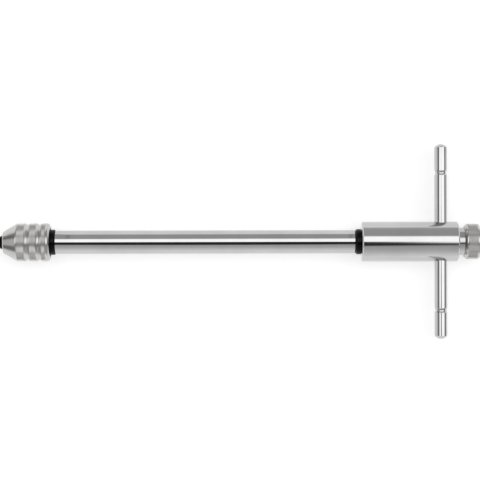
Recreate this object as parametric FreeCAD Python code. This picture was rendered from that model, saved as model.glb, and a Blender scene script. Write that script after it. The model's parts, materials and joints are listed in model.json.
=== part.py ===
import FreeCAD, Part
import math
import os

from FreeCAD import Vector

# Long T-handle ratchet tap wrench for taps with a 4.6 to 8 mm square. All sizes are in millimetres.
# The tool axis runs along X, jaws towards -X and selector knob towards +X. The bar runs along Y.
# Shapes are built with the tool axis on X and "stations" counted from the jaw tips, then moved
# so that the origin lies under the middle of the tool, on the surface it rests on.

# Overall sizes
LENGTH = 300.0
BAR_L = 122.0
BAR_D = 8.0
HOUSING_D = 25.0
HOUSING_L = 60.2
TUBE_D = 14.7
NUT_L = 29.5
KNOB_D = 22.5
KNOB_L = 9.8

# Range of tap squares the jaws take, across the flats
SQUARE_MIN = 4.6
SQUARE_MAX = 8.0

# Named clearances
RUNNING = 0.05
CLOSE = 0.04
GUIDE = 0.03
SHAKE = 0.1
AIR = 0.4

# Chuck
CONE_SLOPE = math.tan(math.radians(20.0))
NOSE_OUT = 2.25
SHANK_TO_SQUARE = 1.25
JAW_L = 17.0
JAW_W = 8.0
JAW_SPLIT = 0.15
JAW_AIR = 0.15
JAW_LIP = 0.5
SOCKET_L = 12.0
JAW_TILT = 45.0
NOSE_WALL = 1.9
NUT_WALL = 3.0
JAW_SEAT = 1.39
COLLAR_UNDER = 1.0
GUIDE_AIR = 0.47
NUT_CONE_L = 8.85
NUT_REAR_R = 2.2
FINGER_GROOVE_W = 2.5
FINGER_GROOVE_DEPTH = 0.65
FINGER_GROOVES = (15.45, 22.75)
SNAP_WIRE_R = 0.6
SNAP_FROM_REAR = 1.4
SNAP_GROOVE_DEPTH = 0.65
SNAP_GAP_ANGLE = 40.0
COLLAR_L = 3.0
COLLAR_STEP = 2.2
COLLAR_STAND_OUT = 0.65
JAW_SPRING_R = 1.0
JAW_SPRING_WIRE_R = 0.17
JAW_SPRING_OFFSET = 2.2

# Spindle
SHANK_D = 10.4
SHANK_GRIP = 20.0
CROSS_PIN_D = 3.0
CROSS_PIN_TILT = 29.3
CHUCK_PIN_IN = 8.4
REAR_PIN_IN = 3.2
FLANGE_L = 3.7
FLANGE_CHAMFER = 1.0
HUB_STEP = 0.35
FACE_GAP = 0.3

# Ratchet
TEETH = 12
TOOTH_DEPTH = 1.8
TOOTH_ROOT_SHARE = 0.283
TOOTH_CREST_SHARE = 0.37
HOUSING_WALL = 2.5
FRONT_RECESS_L = 2.0
BUSH_L = 10.1
BUSH_WALL = 1.2
WHEEL_L = 7.0
PAWL_ROOM = 4.0
PAWL_L = 7.1
PAWL_ARM_OUT = 1.3
PAWL_ARM_IN = 1.0
PAWL_BITE = 0.6
PAWL_TIP_SLACK = 0.17
PAWL_SPREAD = 60.0
PAWL_BOSS_R = 1.7
PAWL_PIN_R = 0.9
PAWL_PIN_HOLD = 6.0
HAIRPIN_WIRE_R = 0.35

# Selector
SELECTOR_ANGLE = 20.0
PEG_R = 0.9
PEG_AT = 2.0
NECK_D = 17.3
NECK_GAP = 3.7
STEM_RECESS = 1.2
TENON_D = 12.0
TENON_L = 7.0
KNOB_PIN_R = 1.25
DETENT_BALL_R = 1.5
DETENT_IN = 32.5
DETENT_HOLE_FROM = 3.6
DETENT_SPRING_R = 1.15
DETENT_SPRING_WIRE_R = 0.2
DIMPLE_DEPTH = 0.4

# Bar
BAR_SETBACK = 10.5
BAR_DOME = 2.1
BAR_GROOVE_IN = 18.0
BAR_GROOVE_R = 2.2
BAR_GROOVE_DEPTH = 0.5
BAR_BALL_R = 2.0
BAR_SPRING_L = 9.8
BAR_SINK = 0.7

# Sizes that follow from those above
HOUSING_R = HOUSING_D / 2
BORE_R = HOUSING_R - HOUSING_WALL
BAR_R = BAR_D / 2
SHANK_R = SHANK_D / 2
KNOB_R = KNOB_D / 2
TUBE_R = TUBE_D / 2
COLLAR_R = TUBE_R + COLLAR_STAND_OUT
HUB_R = TUBE_R - HUB_STEP

JAW_TIP_R = SQUARE_MIN / math.sqrt(2) + JAW_LIP
JAW_TRAVEL = (SQUARE_MAX - SQUARE_MIN) / math.sqrt(2)
NUT_TRAVEL = JAW_TRAVEL / CONE_SLOPE
NOSE_R = SHANK_TO_SQUARE * SQUARE_MAX / 2 + SHAKE
THREAD_R = max(COLLAR_R + COLLAR_UNDER, NOSE_R + JAW_TRAVEL + JAW_SEAT + SHAKE)
NUT_BORE_R = THREAD_R + RUNNING
NUT_R = THREAD_R + NUT_WALL
JAW_BACK_R = NUT_BORE_R - JAW_TRAVEL - JAW_AIR
GUIDE_R = JAW_BACK_R + SHAKE
GUIDE_FRONT = (GUIDE_R + GUIDE_AIR - JAW_TIP_R) / CONE_SLOPE
SNAP_GROOVE_R = NUT_BORE_R + SNAP_GROOVE_DEPTH
NUT_REAR = NOSE_OUT + NUT_L
SNAP_AT = NUT_REAR - SNAP_FROM_REAR
THREAD_END = SNAP_AT - NUT_TRAVEL - SNAP_WIRE_R - SHAKE
CONE_END = (NUT_BORE_R - JAW_TIP_R - RUNNING) / CONE_SLOPE
TUBE_START = NUT_REAR + COLLAR_L

KNOB_FRONT = LENGTH - KNOB_L
HOUSING_REAR = KNOB_FRONT - NECK_GAP
HOUSING_FRONT = HOUSING_REAR - HOUSING_L
BAR_AT = HOUSING_REAR - BAR_SETBACK
TUBE_END = HOUSING_FRONT - FACE_GAP - FLANGE_L

BUSH_FRONT = HOUSING_FRONT + FRONT_RECESS_L
BUSH_REAR = BUSH_FRONT + BUSH_L
BUSH_R = SHANK_R + BUSH_WALL
WHEEL_FRONT = BUSH_REAR + SHAKE
WHEEL_REAR = WHEEL_FRONT + WHEEL_L
WHEEL_R = BORE_R - PAWL_ROOM
ROOT_R = WHEEL_R - TOOTH_DEPTH
PIVOT_R = BORE_R - PAWL_BOSS_R - SHAKE
ROOT_ANGLE = TOOTH_ROOT_SHARE * 360 / TEETH
CREST_ANGLE = TOOTH_CREST_SHARE * 360 / TEETH
PAWL_FRONT = BUSH_REAR + 0.5
PAWL_REAR = PAWL_FRONT + PAWL_L
STEM_FRONT = PAWL_REAR + 2 * HAIRPIN_WIRE_R + 0.5
STEM_R = BORE_R - CLOSE
STEM_REAR = HOUSING_REAR - STEM_RECESS
DETENT_AT = HOUSING_REAR - DETENT_IN
DETENT_BALL_OUT = BORE_R - SHAKE - DETENT_BALL_R
BAR_BALL_AT = BAR_AT - BAR_R - SHAKE - BAR_BALL_R

AXIS = Vector(1, 0, 0)
DOWN = Vector(0, 0, -1)


def point(station, radius):
    return Vector(station, 0, radius)


def turned(start, *steps):
    """Solid turned about the tool axis. A step is a corner, or an arc as mid point and end."""
    here = point(*start)
    first = here
    edges = []
    for step in steps:
        there = point(*step[-2:])
        if len(step) == 4:
            edges.append(Part.Arc(here, point(*step[:2]), there).toShape())
        else:
            edges.append(Part.makeLine(here, there))
        here = there
    edges.append(Part.makeLine(here, first))
    return Part.Face(Part.Wire(edges)).revolve(Vector(), AXIS, 360)


def disc(radius, front, rear):
    """Plain cylinder on the tool axis between two stations."""
    return Part.makeCylinder(radius, rear - front, point(front, 0), AXIS)


def block(front, rear, half_y, half_z):
    """Box centred on the tool axis between two stations."""
    return Part.makeBox(rear - front, 2 * half_y, 2 * half_z, Vector(front, -half_y, -half_z))


def plate(corners, front, rear):
    """Flat outline of (y, z) corners, made thick between two stations."""
    loop = [Vector(front, y, z) for y, z in corners]
    return Part.Face(Part.makePolygon(loop + loop[:1])).extrude(Vector(rear - front, 0, 0))


def cross_rod(station, radius, half_length, direction):
    """Rod through the tool axis, square to it."""
    return Part.makeCylinder(radius, 2 * half_length, point(station, 0) - direction * half_length, direction)


def about_axis(shape, angle):
    return shape.rotated(Vector(), AXIS, angle)


def polar(radius, angle):
    """Point (y, z) at an angle counted from straight up, turning about the tool axis."""
    turn = math.radians(angle)
    return -radius * math.sin(turn), radius * math.cos(turn)


def coil(mean_r, wire_r, length, turns, base, direction):
    """Helical wire spring standing on a base point, with its overall length along a direction."""
    height = length - 2 * wire_r
    path = Part.Wire(Part.makeHelix(height / turns, height, mean_r).Edges)
    section = Part.Wire(Part.makeCircle(wire_r, Vector(mean_r, 0, 0), Vector(0, 1, 0)))
    spring = path.makePipeShell([section], True, True)
    spring.translate(Vector(0, 0, wire_r))
    turn = FreeCAD.Rotation(Vector(0, 0, 1), direction)
    spring.Placement = FreeCAD.Placement(base, turn).multiply(spring.Placement)
    return spring


# Chuck


def nut_outside():
    grooves = []
    for at in FINGER_GROOVES:
        centre = NOSE_OUT + at
        half = FINGER_GROOVE_W / 2
        grooves.append((centre - half, NUT_R))
        grooves.append((centre, NUT_R - FINGER_GROOVE_DEPTH, centre + half, NUT_R))
    corner = NOSE_R + NOSE_WALL
    bend = NUT_REAR_R * (1 - math.sqrt(0.5))
    return turned(
        (NOSE_OUT, 0),
        (NOSE_OUT, corner - 0.5),
        (NOSE_OUT + 0.3, corner),
        (NOSE_OUT + NUT_CONE_L, NUT_R),
        *grooves,
        (NUT_REAR - NUT_REAR_R, NUT_R),
        (NUT_REAR - bend, NUT_R - bend, NUT_REAR, NUT_R - NUT_REAR_R),
        (NUT_REAR, 0),
    )


def chuck_nut():
    """Hand nut: nose bore for the tap shank, closing cone, thread bore and snap ring groove."""
    cone_start = (NOSE_R - JAW_TIP_R - RUNNING) / CONE_SLOPE
    groove_half = SNAP_WIRE_R + SHAKE
    inside = turned(
        (NOSE_OUT - 1, 0),
        (NOSE_OUT - 1, NOSE_R + 1.3),
        (NOSE_OUT + 0.3, NOSE_R),
        (cone_start, NOSE_R),
        (CONE_END, NUT_BORE_R),
        (SNAP_AT - groove_half, NUT_BORE_R),
        (SNAP_AT - groove_half, SNAP_GROOVE_R),
        (SNAP_AT + groove_half, SNAP_GROOVE_R),
        (SNAP_AT + groove_half, NUT_BORE_R),
        (NUT_REAR + 1, NUT_BORE_R),
        (NUT_REAR + 1, 0),
    )
    return nut_outside().cut(inside)


def nut_snap_ring():
    """Open wire ring that rides in the nut and stops it against the back of the thread."""
    centre_r = SNAP_GROOVE_R - SNAP_WIRE_R - JAW_AIR
    ring = Part.makeTorus(centre_r, SNAP_WIRE_R, point(SNAP_AT, 0), AXIS)
    far = 2 * centre_r
    half_gap = math.radians(SNAP_GAP_ANGLE / 2)
    side = far * math.tan(half_gap)
    wedge = plate([(0, 0), (-side, -far), (side, -far)], SNAP_AT - 1, SNAP_AT + 1)
    return ring.cut(wedge)


def jaw():
    """Upper jaw before it is tilted: cone outside, guided flanks, notch for the square, spring pockets."""
    cone_end = (JAW_BACK_R - JAW_TIP_R) / CONE_SLOPE
    body = turned(
        (0, 0),
        (0, JAW_TIP_R - 0.15),
        (0.15, JAW_TIP_R + 0.15 * CONE_SLOPE),
        (cone_end, JAW_BACK_R),
        (JAW_L, JAW_BACK_R),
        (JAW_L, 0),
    )
    reach = JAW_BACK_R + 1
    upper = Part.makeBox(JAW_L + 2, JAW_W, reach, Vector(-1, -JAW_W / 2, JAW_SPLIT))
    half = SQUARE_MIN / 2
    notch = about_axis(block(-1, SOCKET_L, half, half), 45)
    shape = body.common(upper).cut(notch)
    for side in (-1, 1):
        mouth = Vector((SOCKET_L + JAW_L) / 2, side * JAW_SPRING_OFFSET, 0)
        shape = shape.cut(Part.makeCylinder(JAW_SPRING_R + 0.2, 2.75, mouth))
    return shape


def jaw_a():
    return about_axis(jaw(), -JAW_TILT)


def jaw_b():
    return about_axis(jaw(), 180 - JAW_TILT)


def jaw_springs():
    """Two small springs that push the jaws apart."""
    springs = []
    for side in (-1, 1):
        base = Vector((SOCKET_L + JAW_L) / 2, side * JAW_SPRING_OFFSET, -2.7)
        mean_r = JAW_SPRING_R - JAW_SPRING_WIRE_R
        spring = coil(mean_r, JAW_SPRING_WIRE_R, 5.4, 6, base, Vector(0, 0, 1))
        springs.append(about_axis(spring, -JAW_TILT))
    return Part.makeCompound(springs)


def cross_pin_direction():
    tilt = math.radians(CROSS_PIN_TILT)
    return Vector(0, math.sin(tilt), math.cos(tilt))


def chuck_pin():
    return cross_rod(TUBE_START + CHUCK_PIN_IN, CROSS_PIN_D / 2, TUBE_R - 0.15, cross_pin_direction())


def chuck_body():
    """Slotted jaw guide, nut thread, collar and the shank held in the tube."""
    shank_end = TUBE_START + SHANK_GRIP
    thread_start = CONE_END + 0.5
    collar_step = NUT_REAR + COLLAR_L - COLLAR_STEP
    body = turned(
        (GUIDE_FRONT, 0),
        (GUIDE_FRONT, GUIDE_R - 0.4),
        (GUIDE_FRONT + 0.4, GUIDE_R),
        (thread_start - 0.1, GUIDE_R),
        (thread_start - 0.1, THREAD_R - 0.6),
        (thread_start + 0.5, THREAD_R),
        (THREAD_END - 0.6, THREAD_R),
        (THREAD_END, THREAD_R - 0.6),
        (THREAD_END, COLLAR_R - 0.2),
        (collar_step, COLLAR_R - 0.2),
        (collar_step + 0.2, COLLAR_R),
        (TUBE_START - 0.3, COLLAR_R),
        (TUBE_START, COLLAR_R - 0.3),
        (TUBE_START, SHANK_R),
        (shank_end - 0.8, SHANK_R),
        (shank_end, SHANK_R - 0.8),
        (shank_end, 0),
    )
    slot = about_axis(block(0, JAW_L, JAW_W / 2 + GUIDE, 2 * THREAD_R), -JAW_TILT)
    return body.cut(slot).cut(chuck_pin())


# Spindle


def rear_pin():
    return cross_rod(TUBE_END - REAR_PIN_IN, CROSS_PIN_D / 2, TUBE_R - 0.15, cross_pin_direction())


def extension_tube():
    edge = 0.35
    tube = turned(
        (TUBE_START, SHANK_R),
        (TUBE_START, TUBE_R - edge),
        (TUBE_START + edge, TUBE_R),
        (TUBE_END - edge, TUBE_R),
        (TUBE_END, TUBE_R - edge),
        (TUBE_END, SHANK_R),
    )
    holes = (TUBE_START + CHUCK_PIN_IN, TUBE_END - REAR_PIN_IN)
    for station in holes:
        tube = tube.cut(cross_rod(station, CROSS_PIN_D / 2, TUBE_R + 1, cross_pin_direction()))
    return tube


def spindle_collar():
    """Black ring at the back of the tube, with a hub that runs into the housing front."""
    flange_end = TUBE_END + FLANGE_L
    return turned(
        (TUBE_END, SHANK_R),
        (TUBE_END, COLLAR_R - FLANGE_CHAMFER),
        (TUBE_END + FLANGE_CHAMFER, COLLAR_R),
        (flange_end - 0.2, COLLAR_R),
        (flange_end, COLLAR_R - 0.2),
        (flange_end, HUB_R),
        (BUSH_FRONT - 0.2, HUB_R),
        (BUSH_FRONT - 0.2, SHANK_R),
    )


def ratchet_spindle():
    """Round spindle with the ratchet teeth cut on its rear end."""
    front = TUBE_END - SHANK_GRIP
    shaft = turned(
        (front, 0),
        (front, SHANK_R - 0.8),
        (front + 0.8, SHANK_R),
        (WHEEL_FRONT, SHANK_R),
        (WHEEL_FRONT, 0),
    )
    corners = []
    pitch = 360 / TEETH
    for tooth in range(TEETH):
        middle = tooth * pitch
        corners.append(polar(WHEEL_R, middle - CREST_ANGLE))
        corners.append(polar(ROOT_R, middle - ROOT_ANGLE))
        corners.append(polar(ROOT_R, middle + ROOT_ANGLE))
        corners.append(polar(WHEEL_R, middle + CREST_ANGLE))
    wheel = plate(corners, WHEEL_FRONT, WHEEL_REAR)
    return shaft.cut(rear_pin()).fuse(wheel).removeSplitter()


# Handle


def front_bush():
    """Plain bearing bush pressed into the front wall of the housing."""
    return disc(BUSH_R, BUSH_FRONT, BUSH_REAR).cut(disc(SHANK_R + CLOSE, BUSH_FRONT, BUSH_REAR))


def pawl_pin():
    start = Vector(BUSH_REAR - PAWL_PIN_HOLD, 0, PIVOT_R)
    return Part.makeCylinder(PAWL_PIN_R, STEM_FRONT - 0.3 - start.x, start, AXIS)


def ratchet_housing():
    """Handle body: bush seat, ratchet chamber, selector bore, cross hole and three detent dimples."""
    edge = 0.7
    body = turned(
        (HOUSING_FRONT, BUSH_R),
        (HOUSING_FRONT, HOUSING_R - edge),
        (HOUSING_FRONT + edge, HOUSING_R),
        (HOUSING_REAR - edge, HOUSING_R),
        (HOUSING_REAR, HOUSING_R - edge),
        (HOUSING_REAR, BORE_R + 0.3),
        (HOUSING_REAR - 0.3, BORE_R),
        (BUSH_REAR, BORE_R),
        (BUSH_REAR, BUSH_R),
    )
    body = body.cut(disc(HUB_R + AIR, HOUSING_FRONT, BUSH_FRONT)).cut(pawl_pin())
    hole = cross_rod(BAR_AT, BAR_R + RUNNING, HOUSING_R + 1, Vector(0, 1, 0))
    body = body.cut(hole)
    for side in (-1, 1):
        outward = Vector(0, side, 0)
        base = point(BAR_AT, 0) + outward * (HOUSING_R - BAR_SINK - 0.3)
        sink = Part.makeCone(BAR_R - 0.2, BAR_R + 0.2 + BAR_SINK + 0.3, 1.2 + BAR_SINK, base, outward)
        body = body.cut(sink)
    ball = Part.makeSphere(DETENT_BALL_R + 0.1, point(DETENT_AT, DIMPLE_DEPTH - BORE_R + DETENT_BALL_R + 0.1))
    for turn in (-SELECTOR_ANGLE, 0, SELECTOR_ANGLE):
        body = body.cut(about_axis(ball, turn))
    return body


def pawl():
    """Double-ended rocker pawl: a crescent over the wheel with one tip each side of the pivot."""
    inner = WHEEL_R + PAWL_ARM_IN
    outer = BORE_R - PAWL_ARM_OUT
    width = PAWL_REAR - PAWL_FRONT
    ring = disc(outer, PAWL_FRONT, PAWL_REAR).cut(disc(inner, PAWL_FRONT, PAWL_REAR))
    reach = PAWL_SPREAD + 5
    sector = [(0, 0)] + [polar(2 * outer, share * reach) for share in (-1, -0.5, 0, 0.5, 1)]
    arms = ring.common(plate(sector, PAWL_FRONT, PAWL_REAR))
    boss = Part.makeCylinder(PAWL_BOSS_R, width, Vector(PAWL_FRONT, 0, PIVOT_R), AXIS)
    shape = arms.fuse(boss)
    tip_r = WHEEL_R - PAWL_BITE
    foot = ROOT_R * math.sin(math.radians(ROOT_ANGLE)) - PAWL_TIP_SLACK
    neck = WHEEL_R * math.sin(math.radians(CREST_ANGLE)) - 2 * PAWL_TIP_SLACK
    top = inner + 0.3
    tip = plate([(-foot, tip_r), (foot, tip_r), (neck, top), (-neck, top)], PAWL_FRONT, PAWL_REAR)
    for angle in (-PAWL_SPREAD, PAWL_SPREAD):
        shape = shape.fuse(about_axis(tip, angle))
    hole = Part.makeCylinder(PAWL_PIN_R + CLOSE, width, Vector(PAWL_FRONT, 0, PIVOT_R), AXIS)
    return shape.cut(hole).removeSplitter()


def pawl_spring():
    """Hairpin wire round the pivot pin, with two legs that straddle the selector peg."""
    wire = HAIRPIN_WIRE_R
    station = PAWL_REAR + wire
    leg_at = PEG_R + RUNNING + wire
    bend = Part.makeTorus(leg_at, wire, Vector(station, 0, PIVOT_R), AXIS)
    upper = Part.makeBox(2, 6, 6, Vector(station - 1, -3, PIVOT_R))
    shape = bend.common(upper)
    for side in (-1, 1):
        foot = Vector(station, side * leg_at, PEG_AT - 1.4)
        shape = shape.fuse(Part.makeCylinder(wire, PIVOT_R - foot.z, foot))
    return shape.removeSplitter()


# Selector


def bar_window():
    """Fan-shaped opening that lets the selector turn each way round the bar."""
    half = BAR_R + 0.15
    swing = math.radians(SELECTOR_ANGLE + 0.5)
    far = BORE_R + 2
    waist = half / math.cos(swing)
    rim = waist + far * math.tan(swing)
    corners = [(-far, -rim), (0, -waist), (far, -rim), (far, rim), (0, waist), (-far, rim)]
    return plate(corners, BAR_AT - half, BAR_AT + half)


def knob_pin():
    return cross_rod(KNOB_FRONT + 4.5, KNOB_PIN_R, KNOB_R - 0.35, Vector(0, 1, 0))


def selector_stem():
    """Stem in the housing bore, with window, peg, detent holes, neck and tenon for the knob."""
    edge = 0.3
    tenon_end = KNOB_FRONT + TENON_L
    stem = turned(
        (STEM_FRONT, 0),
        (STEM_FRONT, STEM_R - edge),
        (STEM_FRONT + edge, STEM_R),
        (STEM_REAR - edge, STEM_R),
        (STEM_REAR, STEM_R - edge),
        (STEM_REAR, NECK_D / 2),
        (KNOB_FRONT, NECK_D / 2),
        (KNOB_FRONT, TENON_D / 2),
        (tenon_end - 0.5, TENON_D / 2),
        (tenon_end, TENON_D / 2 - 0.5),
        (tenon_end, 0),
    )
    peg = Part.makeCylinder(PEG_R, STEM_FRONT - PAWL_REAR + 1, Vector(PAWL_REAR, 0, PEG_AT), AXIS)
    bar_spring_end = BAR_BALL_AT - BAR_BALL_R
    bar_ball_hole = disc(BAR_BALL_R + RUNNING, bar_spring_end - BAR_SPRING_L - SHAKE, BAR_AT)
    mouth = point(DETENT_AT, -BORE_R - 1)
    hole_depth = BORE_R + 1 - DETENT_HOLE_FROM
    detent_hole = Part.makeCylinder(DETENT_BALL_R + RUNNING, hole_depth, mouth)
    stem = stem.fuse(peg).cut(bar_window())
    return stem.cut(bar_ball_hole).cut(detent_hole).cut(knob_pin())


def selector_knob():
    """Knurled turning knob, drawn to the tops of the knurl."""
    bend = 1.7
    arc_in = bend * (1 - math.sqrt(0.5))
    body = turned(
        (KNOB_FRONT, 0),
        (KNOB_FRONT, KNOB_R - 1.7),
        (KNOB_FRONT + 1.8, KNOB_R),
        (LENGTH - bend, KNOB_R),
        (LENGTH - arc_in, KNOB_R - arc_in, LENGTH, KNOB_R - bend),
        (LENGTH, 0),
    )
    socket = disc(TENON_D / 2, KNOB_FRONT - 1, KNOB_FRONT + TENON_L + SHAKE)
    return body.cut(socket).cut(cross_rod(KNOB_FRONT + 4.5, KNOB_PIN_R, KNOB_R + 1, Vector(0, 1, 0)))


def selector_detent_ball():
    return Part.makeSphere(DETENT_BALL_R, point(DETENT_AT, -DETENT_BALL_OUT))


def selector_detent_spring():
    base_r = DETENT_HOLE_FROM + SHAKE
    length = DETENT_BALL_OUT - DETENT_BALL_R - base_r
    return coil(DETENT_SPRING_R, DETENT_SPRING_WIRE_R, length, 4, point(DETENT_AT, -base_r), DOWN)


# Bar


def t_bar():
    """Round sliding bar with domed ends and a stop groove near each end."""
    half = BAR_L / 2
    groove_at = half - BAR_GROOVE_IN
    depth_to_centre = BAR_GROOVE_R - BAR_GROOVE_DEPTH
    groove_half = math.sqrt(BAR_GROOVE_R ** 2 - depth_to_centre ** 2)
    bottom = BAR_R - BAR_GROOVE_DEPTH
    dome_r = (BAR_R ** 2 + BAR_DOME ** 2) / (2 * BAR_DOME)
    mid_r = BAR_R * 0.55
    mid_out = half - dome_r + math.sqrt(dome_r ** 2 - mid_r ** 2)
    bar = turned(
        (-half, 0),
        (-mid_out, mid_r, BAR_DOME - half, BAR_R),
        (-groove_at - groove_half, BAR_R),
        (-groove_at, bottom, groove_half - groove_at, BAR_R),
        (groove_at - groove_half, BAR_R),
        (groove_at, bottom, groove_at + groove_half, BAR_R),
        (half - BAR_DOME, BAR_R),
        (mid_out, mid_r, half, 0),
    )
    bar.rotate(Vector(), Vector(0, 0, 1), 90)
    bar.translate(Vector(BAR_AT, 0, 0))
    return bar


def bar_detent_ball():
    return Part.makeSphere(BAR_BALL_R, point(BAR_BALL_AT, 0))


def bar_detent_spring():
    start = BAR_BALL_AT - BAR_BALL_R - BAR_SPRING_L
    return coil(1.55, 0.25, BAR_SPRING_L, 6, point(start, 0), AXIS)


NODES = {
    "chuck_nut": chuck_nut,
    "nut_snap_ring": nut_snap_ring,
    "jaw_a": jaw_a,
    "jaw_b": jaw_b,
    "jaw_springs": jaw_springs,
    "chuck_body": chuck_body,
    "chuck_pin": chuck_pin,
    "extension_tube": extension_tube,
    "rear_pin": rear_pin,
    "spindle_collar": spindle_collar,
    "ratchet_spindle": ratchet_spindle,
    "front_bush": front_bush,
    "ratchet_housing": ratchet_housing,
    "pawl": pawl,
    "pawl_pin": pawl_pin,
    "pawl_spring": pawl_spring,
    "selector_stem": selector_stem,
    "selector_knob": selector_knob,
    "knob_pin": knob_pin,
    "selector_detent_ball": selector_detent_ball,
    "selector_detent_spring": selector_detent_spring,
    "t_bar": t_bar,
    "bar_detent_ball": bar_detent_ball,
    "bar_detent_spring": bar_detent_spring,
}

os.makedirs("parts", exist_ok=True)
for name, build in NODES.items():
    shape = build()
    shape.translate(Vector(-LENGTH / 2, 0, max(HOUSING_R, NUT_R)))
    shape.exportStep("parts/" + name + ".step")
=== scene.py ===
import json
import math

import bpy
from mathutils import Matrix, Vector


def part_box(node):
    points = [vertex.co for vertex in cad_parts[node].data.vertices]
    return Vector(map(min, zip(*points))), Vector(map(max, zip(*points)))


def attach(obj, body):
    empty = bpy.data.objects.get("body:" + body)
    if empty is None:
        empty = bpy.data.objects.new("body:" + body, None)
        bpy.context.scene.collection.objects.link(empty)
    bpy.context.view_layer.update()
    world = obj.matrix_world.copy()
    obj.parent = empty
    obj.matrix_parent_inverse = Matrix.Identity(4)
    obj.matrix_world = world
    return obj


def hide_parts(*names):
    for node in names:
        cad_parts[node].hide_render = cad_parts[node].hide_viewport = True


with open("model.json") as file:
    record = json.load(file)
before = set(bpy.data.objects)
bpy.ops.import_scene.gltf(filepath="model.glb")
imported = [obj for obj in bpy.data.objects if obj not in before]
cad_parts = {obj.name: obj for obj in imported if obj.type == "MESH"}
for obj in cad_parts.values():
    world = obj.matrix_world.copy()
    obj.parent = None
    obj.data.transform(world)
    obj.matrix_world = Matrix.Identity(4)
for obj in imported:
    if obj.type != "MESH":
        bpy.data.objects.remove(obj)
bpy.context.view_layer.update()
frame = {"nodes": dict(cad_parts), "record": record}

MM = 0.001
AXIS_Z = (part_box("extension_tube")[0].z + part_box("extension_tube")[1].z) / 2


# ---------------------------------------------------------------- node helpers

class Nodes:
    """Short calls for building one node tree."""

    def __init__(self, tree, coordinate):
        self.tree = tree
        self.coord = self.add("ShaderNodeTexCoord").outputs[coordinate]

    def add(self, kind, **values):
        node = self.tree.nodes.new(kind)
        for key, value in values.items():
            setattr(node, key, value)
        return node

    def put(self, socket, value):
        if isinstance(value, bpy.types.NodeSocket):
            self.tree.links.new(value, socket)
        else:
            socket.default_value = value

    def scaled(self, scale):
        node = self.add("ShaderNodeMapping")
        node.inputs["Scale"].default_value = scale
        self.put(node.inputs["Vector"], self.coord)
        return node.outputs["Vector"]

    def noise(self, scale, vector=None, detail=3.0, rough=0.55):
        node = self.add("ShaderNodeTexNoise")
        node.inputs["Scale"].default_value = scale
        node.inputs["Detail"].default_value = detail
        node.inputs["Roughness"].default_value = rough
        self.put(node.inputs["Vector"], vector or self.coord)
        return node.outputs["Fac"]

    def ramp(self, fac, stops):
        """Colour ramp; a stop is (position, grey level) or (position, colour)."""
        node = self.add("ShaderNodeValToRGB")
        while len(node.color_ramp.elements) < len(stops):
            node.color_ramp.elements.new(0.5)
        for element, (at, value) in zip(node.color_ramp.elements, stops):
            element.position = at
            shade = value if isinstance(value, tuple) else (value, value, value)
            element.color = (*shade, 1)
        self.put(node.inputs["Fac"], fac)
        return node.outputs["Color"]

    def math(self, operation, a, b=0.0, c=0.0):
        node = self.add("ShaderNodeMath", operation=operation)
        for socket, value in zip(node.inputs, (a, b, c)):
            self.put(socket, value)
        return node.outputs[0]

    def times(self, a, b):
        return self.math("MULTIPLY", a, b)

    def step(self, value, low, high):
        """Smooth step of a value, 0 at low and 1 at high."""
        node = self.add("ShaderNodeMapRange", interpolation_type="SMOOTHSTEP")
        for socket, number in zip(node.inputs, (value, low, high)):
            self.put(socket, number)
        return node.outputs[0]

    def mix(self, fac, a, b):
        node = self.add("ShaderNodeMix", data_type="FLOAT")
        self.put(node.inputs[0], fac)
        self.put(node.inputs[2], a)
        self.put(node.inputs[3], b)
        return node.outputs[0]

    def multiply(self, a, b):
        node = self.add("ShaderNodeMix", data_type="RGBA", blend_type="MULTIPLY")
        node.inputs[0].default_value = 1.0
        self.put(node.inputs[6], a)
        self.put(node.inputs[7], b)
        return node.outputs[2]

    def bump(self, height, distance, normal=None):
        node = self.add("ShaderNodeBump")
        node.inputs["Strength"].default_value = 1.0
        node.inputs["Distance"].default_value = distance * MM
        self.put(node.inputs["Height"], height)
        if normal is not None:
            self.put(node.inputs["Normal"], normal)
        return node.outputs["Normal"]


def new_material(name):
    material = bpy.data.materials.new(name)
    material.use_nodes = True
    tree = material.node_tree
    return material, Nodes(tree, "Object"), tree.nodes["Principled BSDF"].inputs


# ---------------------------------------------------------------- materials

ALONG_MARKS = 12.0
SMUDGE_SCALE = 55.0
SMUDGE_SHADE = 0.94
PIT_SCALE = 2600.0

# Painted shade and highlight by the groove attribute: 0 down in the knurl is painted dark, KNURL_TOP on a
# diamond is painted brightest, and 1 on plain surfaces lies in between.
KNURL_TOP = 0.65
PAINTED_KNURL_SHADE_AND_HIGHLIGHT = ((0.0, 0.5), (0.3, 0.85), (0.6, 1.0), (0.75, 1.0), (0.95, 0.69))


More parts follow.
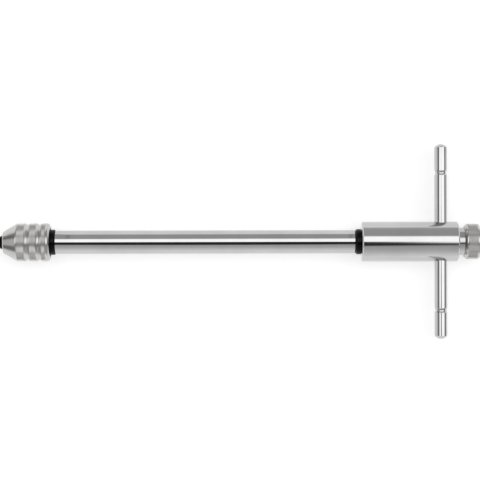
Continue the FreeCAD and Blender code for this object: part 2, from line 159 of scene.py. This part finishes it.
def metal(name, tint, rough, grain, lines, mark_depth, axis="X", smear=0.03, pit_depth=0.01, painted_knurl_shading=False):
    """Metal with turning or polishing marks across its axis, smudges and fine pits; depths in mm.

    With that flag on, the mesh's groove attribute paints shade into the knurl valleys and a highlight
    onto the diamond tops."""
    material, n, shader = new_material(name)
    stretch = {"X": (lines, ALONG_MARKS, ALONG_MARKS), "Y": (ALONG_MARKS, lines, ALONG_MARKS)}[axis]
    marks = n.noise(1.0, n.scaled(stretch), 4.0, 0.6)
    smudge = n.noise(SMUDGE_SCALE, None, 5.0, 0.6)
    pits = n.noise(PIT_SCALE, None, 2.0, 0.5)
    colour = n.ramp(smudge, ((0.35, tuple(c * SMUDGE_SHADE for c in tint)), (0.62, tint)))
    # Painted shade in the knurl valleys and painted highlight on the diamond tops, from the groove
    # attribute.
    if painted_knurl_shading:
        height = n.add("ShaderNodeAttribute", attribute_name="groove").outputs["Fac"]
        colour = n.multiply(colour, n.ramp(height, PAINTED_KNURL_SHADE_AND_HIGHLIGHT))
    n.put(shader["Base Color"], colour)
    shader["Metallic"].default_value = 1.0
    level = n.ramp(marks, ((0.3, max(rough - grain, 0.02)), (0.7, rough + grain)))
    n.put(shader["Roughness"], n.math("MULTIPLY_ADD", smudge, smear, level))
    n.put(shader["Normal"], n.bump(pits, pit_depth, n.bump(marks, mark_depth)))
    return material


def polished(name, axis):
    """Bright chrome plate with faint polishing marks."""
    return metal(name, (0.55, 0.55, 0.55), 0.06, 0.015, 900.0, 0.0008, axis=axis, pit_depth=0.0002)


def black_oxide(name):
    """Gloss black oxide with faint turning rings."""
    material, n, shader = new_material(name)
    rings = n.noise(1.0, n.scaled((3200.0, 25.0, 25.0)), 3.0, 0.6)
    cloud = n.noise(180.0, None, 4.0, 0.6)
    dark, pale = (0.0006, 0.0006, 0.0007), (0.002, 0.002, 0.0022)
    n.put(shader["Base Color"], n.ramp(cloud, ((0.3, dark), (0.7, pale))))
    n.put(shader["Roughness"], n.ramp(rings, ((0.25, 0.10), (0.75, 0.22))))
    shader["Specular IOR Level"].default_value = 0.12
    n.put(shader["Normal"], n.bump(rings, 0.002, n.bump(cloud, 0.004)))
    return material


MATERIALS = {
    "polished_chrome": polished("polished_chrome", "X"),
    # The satin chrome carries the painted knurl shade and highlight.
    "satin_chrome": metal("satin_chrome", (0.79, 0.783, 0.77), 0.19, 0.04, 2600.0, 0.02,
                          pit_depth=0.002, painted_knurl_shading=True),
    "turned_steel": metal("turned_steel", (0.50, 0.50, 0.50), 0.09, 0.03, 2600.0, 0.006, pit_depth=0.001),
    "hardened_steel": metal("hardened_steel", (0.36, 0.36, 0.37), 0.3, 0.05, 1500.0, 0.01, smear=0.08),
    "bright_steel": metal("bright_steel", (0.40, 0.40, 0.41), 0.32, 0.05, 1500.0, 0.006, smear=0.05),
    "spring_steel": metal("spring_steel", (0.32, 0.32, 0.33), 0.3, 0.05, 1500.0, 0.006, smear=0.08),
    "bronze": metal("bronze", (0.55, 0.36, 0.15), 0.35, 0.06, 1200.0, 0.01, smear=0.1),
    "black_steel": black_oxide("black_steel"),
}
BAR_CHROME = polished("bar_chrome", "Y")


# ---------------------------------------------------------------- turned and knurled pieces

# Profiles are rows (x, r, knurled) in mm, x from the piece's front end, in a closed loop.
KNURL_PITCH = 1.4
KNURL_DEPTH = 0.22
FLAT_SHARE = 0.35
FINGER_GROOVE_W = 2.5
FINGER_GROOVE_DEPTH = 0.65
SHARP_ANGLE = 24


def spread(start, end, count):
    """Rows along a straight stretch of profile, without its last point."""
    (x0, r0), (x1, r1) = start, end
    return [(x0 + (x1 - x0) * i / count, r0 + (r1 - r0) * i / count, False) for i in range(count)]


def arc(centre, radius, start, end, count):
    """Rows along an arc of profile, angles in degrees from +x towards +r, without its last point."""
    rows = []
    for i in range(count):
        turn = math.radians(start + (end - start) * i / count)
        rows.append((centre[0] + radius * math.cos(turn), centre[1] + radius * math.sin(turn), False))
    return rows


def band(x0, x1, r):
    """Rows of a knurled band, half a pitch apart."""
    count = 2 * round((x1 - x0) / KNURL_PITCH)
    return [(x0 + (x1 - x0) * i / count, r, True) for i in range(count + 1)]


def finger_groove(centre, r):
    """Rows of a rounded finger groove."""
    half, depth, count = FINGER_GROOVE_W / 2, FINGER_GROOVE_DEPTH, 12
    radius = half ** 2 / (2 * depth) + depth / 2
    rows = []
    for i in range(count + 1):
        x = -half + FINGER_GROOVE_W * i / count
        rows.append((centre + x, r - depth + radius - math.sqrt(radius ** 2 - x ** 2), False))
    return rows


def lathe(name, rows, x_start, r):
    """Closed turned body from a loop of profile rows, its knurled rows cut into flat-topped diamonds."""
    columns = 2 * round(math.tau * r / KNURL_PITCH)
    verts, faces, heights, ring, tip = [], [], [], {}, {}

    def point(x, column, radius, height):
        angle = math.tau * column / columns
        heights.append(height)
        y, z = -radius * MM * math.sin(angle), AXIS_Z + radius * MM * math.cos(angle)
        verts.append((x_start + x * MM, y, z))
        return len(verts) - 1

    total = len(rows)
    inner = [rows[i][2] and rows[i - 1][2] and rows[(i + 1) % total][2] for i in range(total)]
    for i, (x, radius, knurled) in enumerate(rows):
        for c in range(columns):
            top = knurled and inner[i] and (i + c) % 2
            valley = knurled and not top
            # This groove value drives the painted shade in the valleys and the painted highlight on the
            # diamond tops.
            shade = KNURL_TOP * (1 - valley) if knurled else 1.0
            ring[i, c] = point(x, c, radius - KNURL_DEPTH * valley, shade)
            if not top:
                continue
            for di, dc in ((-1, 0), (1, 0), (0, -1), (0, 1)):
                reach = x + FLAT_SHARE * (rows[i + di][0] - x) if di else x
                tip[i, c, di, dc] = point(reach, c + FLAT_SHARE * dc, radius, KNURL_TOP)

    for i in range(total):
        j = (i + 1) % total
        for c in range(columns):
            d = (c + 1) % columns
            # Each corner has the directions along and around that lead into this cell.
            corners = ((i, c, 1, 1), (i, d, 1, -1), (j, d, -1, -1), (j, c, -1, 1))
            if not (rows[i][2] and rows[j][2]):
                faces.append([ring[at[:2]] for at in corners])
                continue
            for k, (row, column, di, dc) in enumerate(corners):
                if (row + column) % 2 == 0:
                    continue
                after, before = ring[corners[(k + 1) % 4][:2]], ring[corners[k - 1][:2]]
                first, last = ((0, dc), (di, 0)) if k % 2 == 0 else ((di, 0), (0, dc))
                if (row, column, di, 0) in tip:
                    q1, q2 = tip[(row, column) + first], tip[(row, column) + last]
                    faces += [(ring[row, column], q1, q2), (q1, after, before, q2)]
                else:
                    faces.append((ring[row, column], after, before))

    mesh = bpy.data.meshes.new(name)
    mesh.from_pydata(verts, [], faces)
    mesh.update()
    mesh.attributes.new("groove", "FLOAT", "POINT").data.foreach_set("value", heights)
    mesh.materials.append(MATERIALS["satin_chrome"])
    mesh.polygons.foreach_set("use_smooth", [True] * len(mesh.polygons))
    mesh.set_sharp_from_angle(angle=math.radians(SHARP_ANGLE))
    obj = bpy.data.objects.new(name, mesh)
    bpy.context.scene.collection.objects.link(obj)
    return obj


def measured(box):
    """Front end in m, radius and length in mm of a turned CAD piece, from its box."""
    lo, hi = box
    return lo.x, (hi.z - lo.z) / 2 / MM, (hi.x - lo.x) / MM


def knurled_nut():
    """Hand nut: cone, three knurled bands, two finger grooves, and the bore behind the jaws."""
    front, r, length = measured(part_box("chuck_nut"))
    nose, cone_end = (0.3, 7.0), (8.6, 11.86)
    bands, grooves, groove_edge_r = ((8.9, 14.0), (16.9, 21.3), (24.2, 27.1)), (15.45, 22.75), r - 0.12
    bore_r, thread_r = 5.1, 9.05
    inner_cone = ((12.17, thread_r), (1.32, bore_r))
    ring_groove, ring_groove_r = (28.8, 27.4), 9.7

    rows = [(0.0, 5.4, False), (0.0, 6.4, False), (0.08, 6.7, False), (*nose, False)]
    rows += spread(nose, cone_end, 14)[1:] + [(*cone_end, False)]
    for i, (start, end) in enumerate(bands):
        rows += band(start, end, r)
        if i < len(grooves):
            rows += finger_groove(grooves[i], groove_edge_r)
    rows += arc((length - 2.2, r - 2.2), 2.2, 84, 0, 12)
    rows += [(length, r - 2.2, False), (length, 9.3, False), (length - 0.25, thread_r, False)]
    rows += [(ring_groove[0], thread_r, False), (ring_groove[0], ring_groove_r, False)]
    rows += [(ring_groove[1], ring_groove_r, False), (ring_groove[1], thread_r, False)]
    rows += spread((27.3, thread_r), inner_cone[0], 6) + spread(*inner_cone, 6)
    rows += [(*inner_cone[1], False), (0.3, bore_r, False)]

    nut = lathe("knurled_nut", rows, front, r)
    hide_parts("chuck_nut")
    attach(nut, "nut")


def knurled_knob():
    """Selector knob: chamfer, knurled band, rounded back, and the blind hole for the stem."""
    front, r, length = measured(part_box("selector_knob"))
    hole_r, hole_end, centre_r = 6.0, 7.1, 0.05

    rows = [(0.0, r - 1.75, False), (0.06, r - 1.62, False)]
    rows += spread((0.1, r - 1.56), (1.75, r - 0.06), 6)
    rows += band(1.8, length - 1.6, r)
    rows += arc((length - 1.45, r - 1.55), 1.45, 84, 0, 10)
    rows += [(length, r - 1.6, False)]
    rows += spread((length, r - 2.0), (length, 0.4), 10)
    rows += [(length, centre_r, False), (hole_end, centre_r, False)]
    rows += [(hole_end, hole_r, False), (0.0, hole_r, False)]

    knob = lathe("knurled_knob", rows, front, r)
    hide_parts("selector_knob")
    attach(knob, "selector")


knurled_nut()
knurled_knob()

slots = {part["node"]: part["material_slot"] for part in frame["record"]["subparts"]}
for name, node in frame["nodes"].items():
    node.data.materials.clear()
    node.data.materials.append(BAR_CHROME if name == "t_bar" else MATERIALS[slots[name]])


# ---------------------------------------------------------------- floor

FLOOR_SIZE = 60
FLOOR_Z = -0.05 * MM
FLOOR_GLOW = 0.6


def floor():
    """White sweep that glows a little, so that it stays white like the cut-out photo."""
    material, n, shader = new_material("pale_floor")
    cloud = n.noise(3.0, None, 2.0, 0.5)
    n.put(shader["Base Color"], n.ramp(cloud, ((0.3, 0.60), (0.7, 0.62))))
    shader["Roughness"].default_value = 0.9
    shader["Specular IOR Level"].default_value = 0.1
    shader["Emission Color"].default_value = (1, 1, 1, 1)
    shader["Emission Strength"].default_value = FLOOR_GLOW
    bpy.ops.mesh.primitive_plane_add(size=FLOOR_SIZE, location=(0, 0, FLOOR_Z))
    plane = bpy.context.object
    plane.name = "floor"
    plane.data.materials.append(material)


floor()


# ---------------------------------------------------------------- studio light

# Angles are in degrees from straight up: across towards -Y, along towards +X.
SIDE_WALLS = ((-180, 1.0), (-134, 1.0), (-113, 0.92), (-97, 0.84), (-90, 0.74), (-83, 0.56), (-72, 0.48),
              (-48, 0.47), (-36, 0.47), (13, 0.12), (18, 0.2), (24, 0.42), (31, 0.53), (42, 0.58),
              (53, 0.66), (64, 0.75), (76, 0.90), (90, 1.0), (180, 1.0))
END_WALLS = ((-180, 1.0), (-90, 0.9), (-74, 0.78), (-64, 0.62), (-55, 0.24), (-36, 0.15), (52, 0.5),
             (60, 0.3), (66, 0.14), (92, 0.14), (110, 0.8), (180, 1.0))
CORNER_LIGHT = 0.18
BOX_LIGHT = 1.72
GAP_LIGHT = 0.03
GAP_CENTRE = (13.5, -1.5)
GAP_HALF = (15, 9.5)


def studio():
    """Soft overhead light box in a pale grey room, with a small dark gap in the box."""
    world = bpy.data.worlds.new("studio")
    bpy.context.scene.world = world
    world.use_nodes = True
    n = Nodes(world.node_tree, "Generated")
    split = n.add("ShaderNodeSeparateXYZ")
    n.put(split.inputs[0], n.coord)
    x, y, z = split.outputs

    def degrees_from_up(value):
        return n.times(n.math("ARCTAN2", value, z), 180 / math.pi)

    def wall(angle, stops):
        share = n.math("MULTIPLY_ADD", angle, 1 / 360, 0.5)
        return n.ramp(share, [(a / 360 + 0.5, v) for a, v in stops])

    def offset(angle, centre, half):
        """Distance from the centre in half widths, squared."""
        away = n.math("MULTIPLY_ADD", angle, 1 / half, -centre / half)
        return n.times(away, away)

    across, along = degrees_from_up(n.times(y, -1.0)), degrees_from_up(x)

    # The share is 0 for a direction over the sides and 1 for one over the ends.
    xx, yy = n.times(x, x), n.times(y, y)
    share = n.math("DIVIDE", xx, n.math("ADD", n.math("ADD", xx, yy), 0.0001))
    room = n.mix(n.step(share, 0.8, 0.96), wall(across, SIDE_WALLS), wall(along, END_WALLS))

    # Dark low corners, in all quarters but the one towards +X and +Y.
    corner = n.times(n.step(share, 0.1, 0.35), n.step(share, 0.97, 0.87))
    corner = n.times(corner, n.step(z, 0.48, 0.34))
    corner = n.times(corner, n.math("MAXIMUM", n.step(x, 0.05, -0.2), n.step(y, 0.05, -0.2)))
    room = n.mix(corner, room, CORNER_LIGHT)

    box = n.times(n.step(across, -36.0, -25.0), n.step(across, 14.0, 5.0))
    box = n.times(box, n.times(n.step(along, -40.0, -27.0), n.step(along, 66.0, 56.0)))
    light = n.mix(box, room, BOX_LIGHT)

    away = n.math("SQRT", n.math("ADD", offset(across, GAP_CENTRE[0], GAP_HALF[0]),
                                 offset(along, GAP_CENTRE[1], GAP_HALF[1])))
    light = n.mix(n.step(away, 1.25, 0.75), light, GAP_LIGHT)
    background = world.node_tree.nodes["Background"]
    n.put(background.inputs["Color"], light)
    background.inputs["Strength"].default_value = 1.0


studio()


# ---------------------------------------------------------------- camera

FOCAL_LENGTH = 119.8
CAMERA_DISTANCE = 1.0
CAMERA_SHIFT = (0.3 * MM, 1.2 * MM)
CAMERA_ROLL = -0.12


def camera():
    """Straight above the tool, as in the photo."""
    data = bpy.data.cameras.new("camera")
    data.lens = FOCAL_LENGTH
    data.sensor_width = 36.0
    data.clip_start = 0.01
    cam = bpy.data.objects.new("camera", data)
    bpy.context.scene.collection.objects.link(cam)
    cam.location = Vector((*CAMERA_SHIFT, AXIS_Z + CAMERA_DISTANCE))
    cam.rotation_euler = (0, 0, math.radians(CAMERA_ROLL))
    bpy.context.scene.camera = cam


camera()
# The default transform turns the whites grey.
bpy.context.scene.view_settings.view_transform = "Standard"
